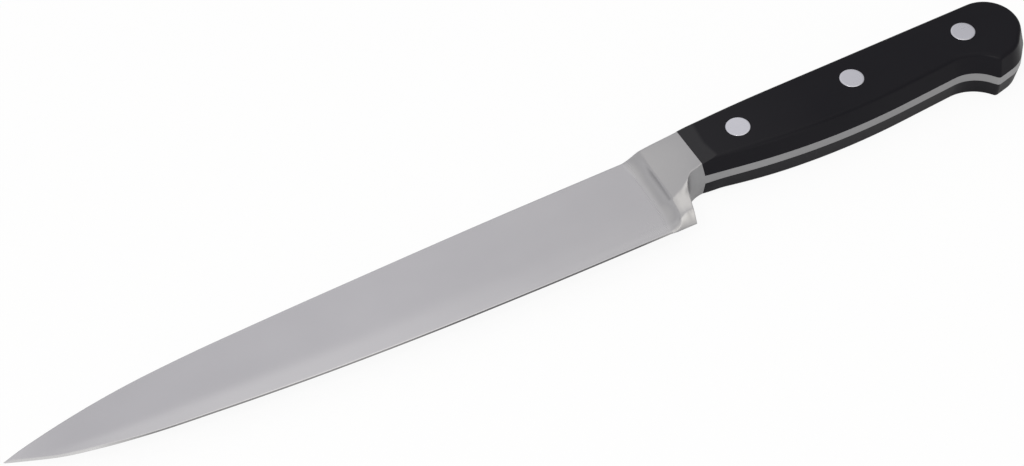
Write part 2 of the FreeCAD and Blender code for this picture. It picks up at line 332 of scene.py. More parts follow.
def curve_through(x, xs, ys):
    """Smooth curve through points, at x."""
    xs = np.array(xs, float)
    ys = np.array(ys, float)
    slopes = np.gradient(ys, xs)
    i = np.clip(np.searchsorted(xs, x) - 1, 0, len(xs) - 2)
    step = xs[i + 1] - xs[i]
    t = np.clip((x - xs[i]) / step, 0, 1)
    return (ys[i] * (1 + 2 * t) * (1 - t) ** 2 + step * slopes[i] * t * (1 - t) ** 2
            + ys[i + 1] * t * t * (3 - 2 * t) + step * slopes[i + 1] * t * t * (t - 1))


def rounded_off(distance, radius):
    """How far a rounded edge lies below its side, at a distance from the edge."""
    into = np.clip(radius - distance, 0, radius)
    return radius - np.sqrt(np.maximum(radius ** 2 - into ** 2, 0))


def blade_lines(x):
    """Heights of the blade's spine and cutting edge at x."""
    rise = spine_height + tip_depth
    fall = heel_depth - tip_depth
    lengths = [0] + [row[0] * blade_length for row in blade_shares] + [blade_end]
    rises = [0] + [row[1] for row in blade_shares] + [1]
    falls = [0] + [row[2] for row in blade_shares] + [1]
    spine = rise * curve_through(x, lengths, rises) - tip_depth
    return spine, -fall * curve_through(x, lengths, falls) - tip_depth


def facet_lean(z):
    """How far the facets lean in at a height above the middle plane, up to the bolster's side."""
    return facet_inset * np.clip(np.abs(z) - half_tang, 0, half_joint - half_tang) / (half_handle - half_tang)


def outward_share(z):
    """Share of the way from the tang's side to the bolster's side."""
    return np.clip((np.abs(z) - half_tang) / (half_joint - half_tang), 0, 1)


def joint_move(x, y, z):
    """How far a point near the joint moves along X, which slants the joint."""
    near = 1 - smooth_step(np.abs(x - joint_x), 0, joint_slant_reach)
    at_tang, at_left, at_right = joint_slant
    at_side = np.where(z < 0, at_right, at_left)
    return near * (at_tang + (at_side - at_tang) * outward_share(z) + joint_lean * y)


def hollow_move(x, y, z):
    """How far a point near the finger hollow moves along Y, which sets the hollow at a slant."""
    near = smooth_step(y, *hollow_start) * smooth_step(-y, 0, joint_depth)
    rise = hollow_rise * np.clip(z / half_joint, 0, 1)
    drop = hollow_drop * np.clip((half_tang - z) / (half_tang + half_joint), 0, 1)
    rising, dropping = [smooth_step(x, *start) - smooth_step(x, *end)
                        for start, end in (hollow_rise_spans, hollow_drop_spans)]
    return near * (rise * rising - drop * dropping)


def spine_ease(x, z):
    """How far the spine's edge draws in near the joint."""
    before = smooth_step(x, blade_length, joint_x)
    after = np.clip(1 - (x - joint_x) / front_ease_length, 0, 1) ** 2
    return front_spine_ease * np.where(x < joint_x, before, after) * outward_share(z)


def choil(x, inset):
    """Lower line of the bolster behind the heel: its leaning rear, the finger hollow and the neck."""
    neck = inset - joint_depth
    lean = heel_lean * (neck - heel_y) / (-joint_depth - heel_y)
    angle = math.atan2(-joint_depth - heel_y, heel_lean)
    centre_x = blade_length + lean + choil_radius * math.tan(angle / 2)
    rear = heel_y + (x - blade_length) * (neck - heel_y) / lean
    into = np.clip(centre_x - x, 0, choil_radius)
    hollow = neck - choil_radius + np.sqrt(choil_radius ** 2 - into ** 2)
    tangent_x = centre_x - choil_radius * math.sin(angle)
    return np.where(x < tangent_x, rear, np.minimum(hollow, neck))


def lower_line(x, inset):
    """Lowest line of blade and bolster at x."""
    edge = blade_lines(x)[1]
    drop = smooth_step(x, bolster_x, blade_length) * (-heel_depth - heel_y)
    return np.where(x <= blade_length, edge - drop, choil(np.maximum(x, blade_length), inset))


def upper_line(x):
    """Spine of blade and bolster at x, on the middle plane."""
    share = (x - bolster_x) / (joint_x - bolster_x)
    rise = spine_height - spine_dip + share * (joint_height - spine_height + spine_dip)
    return np.where(x > bolster_x, np.maximum(rise, blade_lines(x)[0]), blade_lines(x)[0])


def bevel_height(x, height):
    """Height of the bevel of the cutting edge at x."""
    bevel = tip_bevel + (edge_bevel - tip_bevel) * smooth_step(x, *bevel_change)
    return np.minimum(bevel, height / 3)


def blade_half(x, y, top, bottom):
    """Half thickness of the ground blade."""
    height = np.maximum(top - bottom, MM)
    t = np.clip((top - y) / height, 0, 1)
    spine = half_tip + (half_spine - half_tip) * x / blade_end
    spine = spine * np.sqrt(np.clip(x / tip_taper, 0, 1))
    edge = np.minimum(half_edge, spine / 2)
    band = band_tilt + (band_tilt_at_heel - band_tilt) * smooth_step(x, band_falls_x, blade_length)
    band = band * smooth_step(x, 0, band_grown_x)
    span = band_full_share - band_start_share
    u = np.clip((t - band_start_share) / span, 0, 1)
    band_drop = span * (u ** 3 - u ** 4 / 2) + np.clip(t - band_full_share, 0, 1)
    band_whole = span / 2 + 1 - band_full_share
    w = np.clip(t / spine_tilt_share, 0, 1)
    spine_drop = spine_tilt_share * (w - w ** 3 + w ** 4 / 2)
    spine_whole = spine_tilt_share / 2
    even = (spine - edge) / height - band * band_whole - spine_tilt * spine_whole
    side = spine - height * (even * t + band * band_drop + spine_tilt * spine_drop)
    return np.minimum(side, edge * np.maximum((y - bottom) / bevel_height(x, height), 0))


def front_half(x, y):
    """Half thickness of the bolster seen from the front: the foot of the heel and the hollow flank."""
    share = (y - heel_y) / curve_through(x, *zip(*pad_places))
    rounded = share * (pad_bulge + (1 - pad_bulge) * share)
    half = half_pad_front + (half_pad - half_pad_front) * smooth_step(x, *pad_growth)
    foot = half_heel + (half - half_heel) * np.where(share < 1, rounded, 2 * share - 1)
    bend = flank_bend + (flank_bend_rear - flank_bend) * smooth_step(x, *flank_bend_change)
    flank = half + bend * np.maximum(y - heel_y - flank_lift, 0) ** 2
    return smooth_min(foot, flank, pad_round)


def bolster_half(x, y, blade):
    """Half thickness of the bolster: a hollow sweep out of the blade, flat sides, flank and foot."""
    near_spine = smooth_step(y, 0, spine_height)
    lead = sweep_lead + (sweep_lead_top - sweep_lead) * near_spine
    power = sweep_power + (sweep_power_top - sweep_power) * near_spine
    power = power + (sweep_power_heel - sweep_power) * smooth_step(y, *sweep_heel)
    root = finish_x + finish_bend * y * np.abs(y) - lead
    crease = curve_through(y, *zip(*crease_places))
    half = half_crease + crease_lean * y
    front = front_half(x, y)
    rise = np.maximum(np.minimum(half, front) - blade, 0)
    sweep = blade + rise * (np.maximum(x - root, 0) / (crease - root)) ** power
    side = half_joint + (x - joint_x) * (half_joint - half) / (joint_x - crease)
    width = crease_round + (crease_round_top - crease_round) * near_spine
    sides = smooth_min(sweep, side, width)
    behind = smooth_step(x, crease, crease + flank_reach)
    return smooth_min(sides, front, flank_round_front + (flank_round - flank_round_front) * behind)


def forging_half(x, y, top, bottom):
    """Half thickness of blade and bolster together."""
    blade = blade_half(x, y, top, bottom)
    return np.where(x > bolster_x, np.maximum(bolster_half(x, y, blade), blade), blade)


def add_face(faces, corners):
    """Adds a face, leaving out corners that are the same point."""
    kept = []
    for corner in corners:
        if corner not in kept:
            kept.append(int(corner))
    if len(kept) > 2:
        faces.append(kept)


def ring_faces(rings):
    """Faces between each ring of point numbers and the next."""
    faces = []
    for low, high in zip(rings, rings[1:]):
        for i in range(len(low)):
            after = (i + 1) % len(low)
            add_face(faces, (low[i], low[after], high[after], high[i]))
    return faces


def mesh_piece(name, points, faces, materials):
    """New object from drawn points."""
    mesh = bpy.data.meshes.new(name)
    mesh.from_pydata(placed(points).tolist(), [], faces)
    piece = bpy.data.objects.new(name, mesh)
    bpy.context.scene.collection.objects.link(piece)
    for material in materials:
        mesh.materials.append(material)
    return piece


def finish_mesh(piece, sharp_angle):
    """Normals outward, smooth shading, and sharp edges past an angle in degrees and between materials."""
    shape = bmesh.new()
    shape.from_mesh(piece.data)
    bmesh.ops.recalc_face_normals(shape, faces=shape.faces[:])
    for face in shape.faces:
        face.smooth = True
    for edge in shape.edges:
        marks = {face.material_index for face in edge.link_faces}
        edge.smooth = len(marks) == 1 and edge.calc_face_angle(math.pi) < math.radians(sharp_angle)
    shape.to_mesh(piece.data)
    shape.free()


def cut_away(piece, cutters):
    """Cuts the cutters' shapes out of a piece and removes them."""
    for cutter in cutters:
        modifier = piece.modifiers.new("cut", "BOOLEAN")
        modifier.object = cutter
        modifier.solver = "EXACT"
    view = bpy.context.evaluated_depsgraph_get()
    old = piece.data
    name = old.name
    piece.data = bpy.data.meshes.new_from_object(piece.evaluated_get(view))
    piece.modifiers.clear()
    bpy.data.meshes.remove(old)
    piece.data.name = name
    for cutter in cutters:
        bpy.data.meshes.remove(cutter.data)


def join_into(piece, other):
    """Adds another object's mesh, with the same materials, to a piece and removes that object."""
    shape = bmesh.new()
    shape.from_mesh(piece.data)
    shape.from_mesh(other.data)
    shape.to_mesh(piece.data)
    shape.free()
    bpy.data.meshes.remove(other.data)


def corner_points(before, corner, after, radius):
    """Points round a corner of an outline."""
    if radius == 0:
        return [np.asarray(corner)]
    a = np.subtract(corner, before) / np.linalg.norm(np.subtract(corner, before))
    b = np.subtract(after, corner) / np.linalg.norm(np.subtract(after, corner))
    turn = math.atan2(a[0] * b[1] - a[1] * b[0], a @ b)
    reach = radius * math.tan(abs(turn) / 2)
    start = np.asarray(corner) - a * reach
    side = np.array([-a[1], a[0]]) * math.copysign(1, turn)
    centre = start + side * radius
    spoke = start - centre
    return [centre + np.array([spoke[0] * math.cos(t) - spoke[1] * math.sin(t),
                               spoke[0] * math.sin(t) + spoke[1] * math.cos(t)])
            for t in np.linspace(0, turn, arc_steps)]


def handle_outline(inset):
    """Anticlockwise outline of the handle as points, moved in by an inset but for its front."""
    corners = [
        (joint_x, -joint_depth, 0),
        (joint_x + belly_share * scale_length, -belly_depth, belly_radius),
        (joint_x + scoop_share * scale_length, -scoop_depth, scoop_radius),
        (joint_x + beak_share * scale_length, -beak_depth, beak_round),
        (joint_x + butt_share * scale_length, -butt_depth, butt_radius),
        (butt_x, -crown_depth, butt_radius),
        (butt_x, butt_height, crown_radius),
        (joint_x, joint_height, 0),
    ]
    count = len(corners)
    lines = []
    for i, (x, y, _) in enumerate(corners):
        along = np.subtract(corners[(i + 1) % count][:2], (x, y))
        along = along / np.linalg.norm(along)
        move = 0 if i == count - 1 else inset
        lines.append((np.array([x - along[1] * move, y + along[0] * move]), along))
    moved = []
    for i, (_, _, radius) in enumerate(corners):
        (p, a), (q, b) = lines[i - 1], lines[i]
        cross = a[0] * b[1] - a[1] * b[0]
        gap = q - p
        point = p + a * (gap[0] * b[1] - gap[1] * b[0]) / cross
        if radius:
            radius = max(radius - math.copysign(inset, cross), least_round)
        moved.append((point, radius))
    arcs = []
    for i, (point, radius) in enumerate(moved):
        arcs.append(corner_points(moved[i - 1][0], point, moved[(i + 1) % count][0], radius))
    points = []
    for i, arc in enumerate(arcs):
        points += arc
        following = arcs[(i + 1) % count][0]
        shares = np.linspace(0, 1, side_steps + 1)[1:-1]
        points += [arc[-1] + (following - arc[-1]) * share for share in shares]
    return np.array(points)


def lathe(profile):
    """Points and faces of a turned shape, from (radius, z) pairs that start and end on the axis."""
    points = []
    rings = []
    for radius, z in profile:
        if radius == 0:
            rings.append([len(points)] * lathe_steps)
            points.append((0, 0, z))
            continue
        rings.append(list(range(len(points), len(points) + lathe_steps)))
        for step in range(lathe_steps):
            angle = 2 * math.pi * step / lathe_steps
            points.append((radius * math.cos(angle), radius * math.sin(angle), z))
    return np.array(points), ring_faces(rings)


def turned(name, profile, x, materials):
    """Turned shape standing at a rivet's place."""
    points, faces = lathe(profile)
    return mesh_piece(name, points + np.array([x, 0, 0]), faces, materials)


def rivet_places():
    """X of each rivet, read from the frame."""
    places = []
    for name in rivet_names:
        low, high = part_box(name + "_rivet_post")
        places.append(((low.x + high.x) / 2 - origin.x) / MM)
    return places


def scale_top(x, y):
    """Height of a scale's flat side: level, then sinking a little and sloping down to the bolster."""
    ease = np.clip(1 - (x - joint_x) / front_ease_length, 0, 1)
    level = half_handle - (front_ease + front_ease_lean * y) * ease ** 2
    slope = half_joint + (front_slope - front_slope_lean * np.maximum(y, 0)) * (x - joint_x)
    return smooth_min(level, slope, front_round)


def blade_columns():
    """X of the sections of the blade and bolster, closest where the shape turns most."""
    tip_end = 2 * tip_taper
    return np.concatenate([
        tip_end * np.linspace(0, 1, tip_sections, endpoint=False) ** 2,
        np.linspace(tip_end, bolster_x, blade_sections, endpoint=False),
        np.linspace(bolster_x, blade_length, heel_sections, endpoint=False),
        np.linspace(blade_length, blade_length + heel_lean, rear_sections, endpoint=False),
        np.linspace(blade_length + heel_lean, joint_x, neck_sections),
    ])


def blade_rows():
    """Shares of a section's height between its rounded ends, closest at the heel."""
    lower = np.linspace(0, lower_rows_share, lower_rows, endpoint=False)
    return np.concatenate([lower, np.linspace(lower_rows_share, 1, upper_rows)])[1:-1]


def forging_grid():
    """Columns of points on the left side of blade and bolster: x of each, and y and z of each row in it."""
    x = blade_columns()
    turns = 1 - np.sin(np.linspace(math.pi / 2, 0, end_rows))
    top = upper_line(x)
    bottom = lower_line(x, np.zeros_like(x))
    near_top = forging_half(x, top - spine_round, top, bottom)
    top_left = top - facet_lean(near_top) - spine_ease(x, near_top)
    near_bottom = forging_half(x, bottom + lower_round, top, bottom)
    bottom_left = np.where(x > blade_length, lower_line(x, facet_lean(near_bottom)), bottom)
    slope = np.hypot(1, np.gradient(bottom_left, x))
    height = top_left - bottom_left
    grown = smooth_step(x, bolster_x, blade_length)
    foot = np.where(x > blade_length, np.minimum(lower_round * slope, choil_radius / 2), lower_round)
    foot = bevel_height(x, height) * (1 - grown) + foot * grown
    crown = spine_round + (joint_round - spine_round) * smooth_step(x, blade_length, joint_x)
    crown = np.minimum(crown, height / 4)
    low = bottom_left[:, None] + foot[:, None] * turns
    middle = (bottom_left + foot)[:, None] + (height - foot - crown)[:, None] * blade_rows()
    high = top_left[:, None] - crown[:, None] * turns[::-1]
    y = np.concatenate([low, middle, high], 1)
    z = forging_half(x[:, None], y, top[:, None], bottom[:, None])
    z = z - rounded_off(top_left[:, None] - y, np.minimum(crown, near_top / 2)[:, None])
    behind = x > bolster_x
    line = np.stack([x[behind], bottom_left[behind]], 1)
    for i in np.where(behind)[0]:
        away = np.min(np.hypot(x[i] - line[:, :1], y[i] - line[:, 1:]), 0)
        z[i] -= rounded_off(away, min(lower_round, near_bottom[i] / 2) * grown[i])
    z = np.maximum(z, 0)
    z[~behind, 0] = 0
    return x, y, z, top, ~behind


def forged_blade(materials):
    """Blade, bolster and tang, with materials for the sides, the cutting edge and the narrow sides."""
    x, y, z, top, ends_in_edge = forging_grid()
    columns, rows = y.shape
    bevel_rows = end_rows - 1
    points = []
    faces = []
    marks = []

    def point(px, py, pz):
        points.append((px + joint_move(px, py, pz), py + hollow_move(px, py, pz), pz))
        return len(points) - 1

    def face(mark, *corners):
        before = len(faces)
        add_face(faces, corners)
        marks.extend([mark] * (len(faces) - before))

    left, right = np.zeros((2, columns, rows), int)
    spine, foot = np.zeros((2, columns, rim_steps + 1), int)
    left[0] = right[0] = point(x[0], y[0, 0], 0)
    spine[0] = foot[0] = left[0, 0]
    for i in range(1, columns):
        for j in range(rows):
            left[i, j] = point(x[i], y[i, j], z[i, j])
            right[i, j] = left[i, j] if z[i, j] == 0 else point(x[i], y[i, j], -z[i, j])
        spine[i, 0], spine[i, -1] = left[i, -1], right[i, -1]
        foot[i, 0], foot[i, -1] = left[i, 0], right[i, 0]
        for k, share in enumerate(np.linspace(1, -1, rim_steps + 1)[1:-1], 1):
            height = z[i, -1] * share
            spine[i, k] = point(x[i], top[i] - facet_lean(height) - spine_ease(x[i], height), height)
            if ends_in_edge[i]:
                foot[i, k] = left[i, 0]
                continue
            height = z[i, 0] * share
            low = lower_line(x[i], facet_lean(height)) if x[i] > blade_length else y[i, 0]
            foot[i, k] = point(x[i], low, height)
    for i in range(columns - 1):
        for j in range(rows - 1):
            mark = 1 if j < bevel_rows and x[i] < edge_fades[1] else 0
            face(mark, left[i, j], left[i + 1, j], left[i + 1, j + 1], left[i, j + 1])
            face(mark, right[i, j + 1], right[i + 1, j + 1], right[i + 1, j], right[i, j])
        for k in range(rim_steps):
            face(0, spine[i, k], spine[i + 1, k], spine[i + 1, k + 1], spine[i, k + 1])
            face(2, foot[i, k + 1], foot[i + 1, k + 1], foot[i + 1, k], foot[i, k])
    end = list(left[-1]) + list(spine[-1, 1:-1]) + list(right[-1, ::-1]) + list(foot[-1, -2:0:-1])
    face(0, *end[::-1])
    piece = mesh_piece("forged_blade", points, faces, materials)
    piece.data.polygons.foreach_set("material_index", marks)
    join_into(piece, tang(materials))
    finish_mesh(piece, blade_sharp_angle)
    return piece


def tang(materials):
    """Tang between the scales, with the rivets' holes and a front that reaches into the bolster."""
    outline = handle_outline(0)
    count = len(outline)
    points = []
    for pz in (-half_tang, half_tang):
        for px, py in outline:
            inner = px - joint_x < MM and -joint_depth + MM < py < joint_height - MM
            x = px + joint_move(px, py, pz) - (tang_overlap if inner else 0)
            points.append((x, py + hollow_move(px, py, pz), pz))
    faces = [list(range(count))[::-1], list(range(count, 2 * count))]
    faces += [[i, (i + 1) % count, count + (i + 1) % count, count + i] for i in range(count)]
    piece = mesh_piece("tang", points, faces, materials)
    piece.data.polygons.foreach_set("material_index", [2] * len(faces))
    reach = half_tang + hole_reach
    radius = sleeve_radius + clearance
    hole = [(0, -reach), (radius, -reach), (radius, reach), (0, reach)]
    cut_away(piece, [turned("hole", hole, x, materials) for x in rivet_places()])
    return piece


def ridge_reach():
    """How far a scale's ridge reaches from its sharp corner, and the height at which it leaves the facet."""
    lean = math.atan2(facet_inset, half_handle - half_tang)
    reach = ridge_radius * math.tan((math.pi / 2 - lean) / 2)
    return lean, reach, half_handle - reach * math.cos(lean)


def scale_rings():
    """Insets and heights of the rings that a scale is built from, up its facet and round its ridge."""
    lean, reach, facet_end = ridge_reach()
    lower = np.linspace(half_tang, half_joint - facet_breaks[0], facet_rings[0])
    upper = np.linspace(half_joint - facet_breaks[1], facet_end, facet_rings[1])
    rings = [(facet_inset * (h - half_tang) / (half_handle - half_tang), h)
             for h in np.concatenate([lower, upper])]
    centre_inset = facet_inset + reach
    centre_height = half_handle - ridge_radius
    for angle in np.linspace(lean, math.pi / 2, ridge_rings)[1:]:
        inset = centre_inset - ridge_radius * math.cos(angle)
        rings.append((inset, centre_height + ridge_radius * math.sin(angle)))
    rings.append((centre_inset + flat_margin, half_handle))
    return rings


def front_point(x, y, z, side):
    """Where a point of a scale's front goes: the ridge shrinks, and it and the flat side sink."""
    _, reach, facet_end = ridge_reach()
    drop = half_handle - scale_top(x, y)
    start = joint_round / ridge_radius
    share = start + (1 - start) * smooth_step(x, joint_x, joint_x + front_ridge_length)
    facet_slope = facet_inset / (half_handle - half_tang)
    if z > facet_end:
        sine = min((z - half_handle) / ridge_radius + 1, 1)
        inset = reach - ridge_radius * math.sqrt(1 - sine ** 2)
        out = (1 - share) * inset + drop * facet_slope
        z = half_handle - share * (half_handle - z) - drop
    else:
        end = half_handle - share * (half_handle - facet_end) - drop
        lowered = half_tang + (z - half_tang) * (end - half_tang) / (facet_end - half_tang)
        out = (z - lowered) * facet_slope
        z = lowered
    middle = (joint_height - joint_depth) / 2
    y += out * np.clip(2 * (y - middle) / joint_depth, -1, 1)
    if y > 0:
        y -= spine_ease(x, z) * smooth_step(y, 0, joint_height / 2)
    return x + joint_move(x, y, side * z), y + hollow_move(x, y, side * z), z


def bend_front(shape, side):
    """Slopes, eases and slants the front of a scale."""
    for share in np.linspace(0, 1, front_cuts + 2)[1:-1] ** front_cut_power:
        at = placed([(joint_x + front_ease_length * share, 0, 0)])[0]
        parts = shape.verts[:] + shape.edges[:] + shape.faces[:]
        bmesh.ops.bisect_plane(shape, geom=parts, plane_co=at, plane_no=(1, 0, 0), dist=cut_tolerance)
    for vertex in shape.verts:
        x, y, z = (np.array(vertex.co) - np.array(origin)) / MM
        if x < joint_x + front_ease_length:
            vertex.co = placed([front_point(x, y, z, side)])[0]


def scale(name, side, plastic):
    """One handle scale: facets, rounded ridge, flat side, sloping front and the rivets' seats."""
    rings = [[(px, py, height) for px, py in handle_outline(inset)] for inset, height in scale_rings()]
    points = [p for ring in rings for p in ring]
    numbers = np.arange(len(points)).reshape(len(rings), -1)
    faces = [numbers[0, ::-1].tolist()] + ring_faces(numbers) + [numbers[-1].tolist()]
    piece = mesh_piece(name, points, faces, [plastic])
    shape = bmesh.new()
    shape.from_mesh(piece.data)
    bend_front(shape, side)
    shape.to_mesh(piece.data)
    shape.free()
    bore = sleeve_radius + clearance
    seat = head_radius + clearance
    floor = head_top - head_height
    cutters = []
    for x in rivet_places():
        rim = scale_top(x, 0)
        profile = [(0, 0), (bore, 0), (bore, floor), (seat, floor), (seat, rim - seat_chamfer),
                   (seat + seat_chamfer + hole_reach, rim + hole_reach), (0, rim + hole_reach)]
        cutters.append(turned("seat", profile, x, [plastic]))
    cut_away(piece, cutters)
    if side < 0:
        for vertex in piece.data.vertices:
            vertex.co.z = 2 * origin.z - vertex.co.z
    finish_mesh(piece, handle_sharp_angle)
    return piece


def rivet_half(name, x, side, metal):
    """Post (side 1) or sleeve (side -1) of a rivet, with its flush head."""
    seat = head_top - head_height
    face = [(head_radius * share, head_top) for share in head_rings]
    rounding = [(head_radius - head_edge * (1 - math.cos(t)), head_top - head_edge * (1 - math.sin(t)))
                for t in np.linspace(math.pi / 2, 0, head_edge_steps)]
    end = sleeve_floor - seat
    if side > 0:
        shank = [(head_radius, seat), (post_radius, seat), (post_radius, end), (0, end)]
    else:
        bore = post_radius + clearance
        shank = [(head_radius, seat), (sleeve_radius, seat), (sleeve_radius, end),
                 (bore, end), (bore, seat), (0, seat)]
    points, faces = lathe(face + rounding + shank)
    sunk = half_handle - scale_top(points[:, 0] + x, points[:, 1])
    points[:, 2] -= np.where(points[:, 2] > seat, sunk, 0)
    points[:, 2] *= side
    piece = mesh_piece(name, points + np.array([x, 0, 0]), faces, [metal])
    finish_mesh(piece, handle_sharp_angle)
    return piece


def new_material(name, metallic):
    """Material with its shader, and a coordinate in metres to draw its detail from."""
    material = bpy.data.materials.new(name)
    material.use_nodes = True
    nodes = material.node_tree.nodes
    shader = nodes["Principled BSDF"]
    shader.inputs["Metallic"].default_value = metallic
    return material, shader, nodes.new("ShaderNodeTexCoord").outputs["Object"]


def feed(node, name, value):
    """Links a value to an input of a node in the same tree."""
    node.id_data.links.new(value, node.inputs[name])


def noise(place, scales, detail=3.0, roughness=0.5):
    """Noise drawn out along the axes with the smaller scales, which are counts per metre."""
    nodes = place.id_data.nodes
    mapping = nodes.new("ShaderNodeMapping")
    mapping.inputs["Scale"].default_value = scales
    feed(mapping, "Vector", place)
    texture = nodes.new("ShaderNodeTexNoise")
    texture.inputs["Scale"].default_value = 1.0
    texture.inputs["Detail"].default_value = detail
    texture.inputs["Roughness"].default_value = roughness
    feed(texture, "Vector", mapping.outputs["Vector"])
    return texture.outputs["Fac"]


def spread(value, low, high, start=0.0, end=1.0):
    """A value that runs from start to end, spread over a range."""
    node = value.id_data.nodes.new("ShaderNodeMapRange")
    node.inputs["From Min"].default_value = start
    node.inputs["From Max"].default_value = end
    node.inputs["To Min"].default_value = low
    node.inputs["To Max"].default_value = high
    feed(node, "Value", value)
    return node.outputs["Result"]


def between(value, first, second):
    """Colour between two colours, each a plain colour or another node's output."""
    node = value.id_data.nodes.new("ShaderNodeMix")
    node.data_type = "RGBA"
    for socket, colour in (("A", first), ("B", second)):
        inputs = [item for item in node.inputs if item.name == socket and item.type == "RGBA"]
        if isinstance(colour, tuple):
            inputs[0].default_value = (*colour, 1)
        else:
            node.id_data.links.new(colour, inputs[0])
    feed(node, "Factor", value)
    return [item for item in node.outputs if item.type == "RGBA"][0]


def combined(operation, first, second):
    """Two values put together."""
    node = first.id_data.nodes.new("ShaderNodeMath")
    node.operation = operation
    for socket, value in zip(node.inputs, (first, second)):
        if isinstance(value, float):
            socket.default_value = value
        else:
            node.id_data.links.new(value, socket)
    return node.outputs["Value"]


def bumped(shader, height, depth):
    """Surface relief of a depth in metres."""
    node = shader.id_data.nodes.new("ShaderNodeBump")
    node.inputs["Distance"].default_value = depth
    feed(node, "Height", height)
    feed(shader, "Normal", node.outputs["Normal"])


def split_place(place):
    """X, Y and Z of a coordinate."""
    node = place.id_data.nodes.new("ShaderNodeSeparateXYZ")
    feed(node, "Vector", place)
    return node.outputs["X"], node.outputs["Y"], node.outputs["Z"]


def brushed_metal(name, colours, roughness, brush, depth):
    """Ground metal: fine lines along one axis, soft clouds of tone, and gloss that follows the lines."""
    material, shader, place = new_material(name, 1.0)
    lines = noise(place, brush, detail=4.0, roughness=0.65)
    clouds = noise(place, steel_clouds, detail=2.0)
    feed(shader, "Base Color", between(clouds, *colours))
    follow = spread(lines, -brush_gloss, brush_gloss)
    gloss = combined("ADD", follow, spread(clouds, *roughness))
    feed(shader, "Roughness", gloss)
    bumped(shader, lines, depth)
    return material


def forged_steel():
    """Satin blade up to the line where its grind ends, darkened by painted shade towards that line, and a
    duller bolster with a brighter foot behind.
    """
    material, shader, place = new_material("satin_steel", 1.0)
    x, y, _ = split_place(place)
    lines = noise(place, steel_lines, detail=2.5, roughness=0.6)
    clouds = noise(place, steel_clouds, detail=2.0)
    y = combined("SUBTRACT", y, origin.y)
    bend = combined("MULTIPLY", y, finish_bend / MM)
    bend = combined("MULTIPLY", bend, combined("ABSOLUTE", y, 0.0))
    line_at = origin.x + finish_x * MM
    over = combined("SUBTRACT", x, bend)
    # painted shade: the blade's colour darkens towards the heel before the finish line
    painted_shade = spread(over, 0.0, painted_shade_share, line_at - painted_shade_reach * MM, line_at)
    change = [line_at + end * MM for end in finish_blend]
    ending = spread(over, 0.0, 1 - painted_shade_share, *change)
    behind = combined("ADD", painted_shade, ending)
    blade = between(clouds, *blade_colours)
    bolster = between(clouds, *bolster_colours)
    foot = between(clouds, *foot_colours)
    starting, stopping = [spread(y, 0.0, 1.0, low * MM, high * MM) for low, high in foot_finish]
    bolster = between(combined("SUBTRACT", starting, stopping), bolster, foot)
    feed(shader, "Base Color", between(behind, blade, bolster))
    dulled = spread(behind, 0.0, bolster_dullness)
    gloss = combined("ADD", spread(clouds, *steel_roughness), dulled)
    gloss = combined("ADD", gloss, spread(lines, -line_gloss, line_gloss))
    feed(shader, "Roughness", gloss)
    bumped(shader, lines, steel_relief)
    return material


def honed_edge():
    """Cutting edge: bright near the tip, then darker and dark along the rest with painted shade, and plain at
    the heel.
    """
    material, shader, place = new_material("honed_edge", 1.0)
    x, _, _ = split_place(place)
    scratches = noise(place, edge_scratches)
    colour = between(scratches, *tip_edge_colours)
    # painted shade: the edge's colour steps darker along the blade and fades out at the heel
    for change, colours in edge_painted_shades:
        low, high = [origin.x + at * MM for at in change]
        share = spread(x, 0.0, 1.0, low, high)
        colour = between(share, colour, between(scratches, *colours))
    feed(shader, "Base Color", colour)
    feed(shader, "Roughness", spread(scratches, *edge_roughness))
    bumped(shader, scratches, edge_relief)
    return material


def moulded_plastic():
    """Black moulded plastic with a fine grain, dull and grey on its front bevel, that grey partly painted
    light, and a painted sheen on the flat side behind it.
    """
    material, shader, place = new_material("black_plastic", 0.0)
    shader.inputs["Specular IOR Level"].default_value = plastic_specular
    x, y, z = split_place(place)
    grain = noise(place, plastic_grain, roughness=0.6)
    clouds = noise(place, plastic_clouds, detail=2.0)
    outward = combined("ABSOLUTE", combined("SUBTRACT", z, origin.z), 0.0)
    behind = combined("SUBTRACT", x, origin.x + joint_x * MM)
    above = combined("MAXIMUM", combined("SUBTRACT", y, origin.y), 0.0)
    flatter = combined("MULTIPLY", above, -front_slope_lean / MM)
    slope = combined("ADD", flatter, front_slope)
    over = combined("SUBTRACT", outward, combined("MULTIPLY", behind, slope))
    start, full = [(half_joint - below) * MM for below in front_blend]
    ground = spread(over, 0.0, 1.0, start, full)
    black = between(clouds, *black_colours)
    # painted sheen: the flat side's front is lighter, fading towards the rear
    sheened = between(clouds, *painted_sheen_colours)
    fade = spread(behind, 1.0, 0.0, painted_sheen_reach[0] * MM, painted_sheen_reach[1] * MM)
    raised = spread(outward, 0.0, 1.0, painted_sheen_height[0] * MM, painted_sheen_height[1] * MM)
    black = between(combined("MULTIPLY", fade, raised), black, sheened)
    # grey front bevel, partly painted light
    grey = between(grain, *bevel_colours)
    feed(shader, "Base Color", between(ground, black, grey))
    follow = spread(grain, -grain_gloss, grain_gloss)
    gloss = combined("ADD", follow, spread(clouds, *plastic_roughness))
    gloss = combined("ADD", gloss, spread(ground, 0.0, bevel_dullness))
    feed(shader, "Roughness", gloss)
    bumped(shader, grain, plastic_relief)
    return material


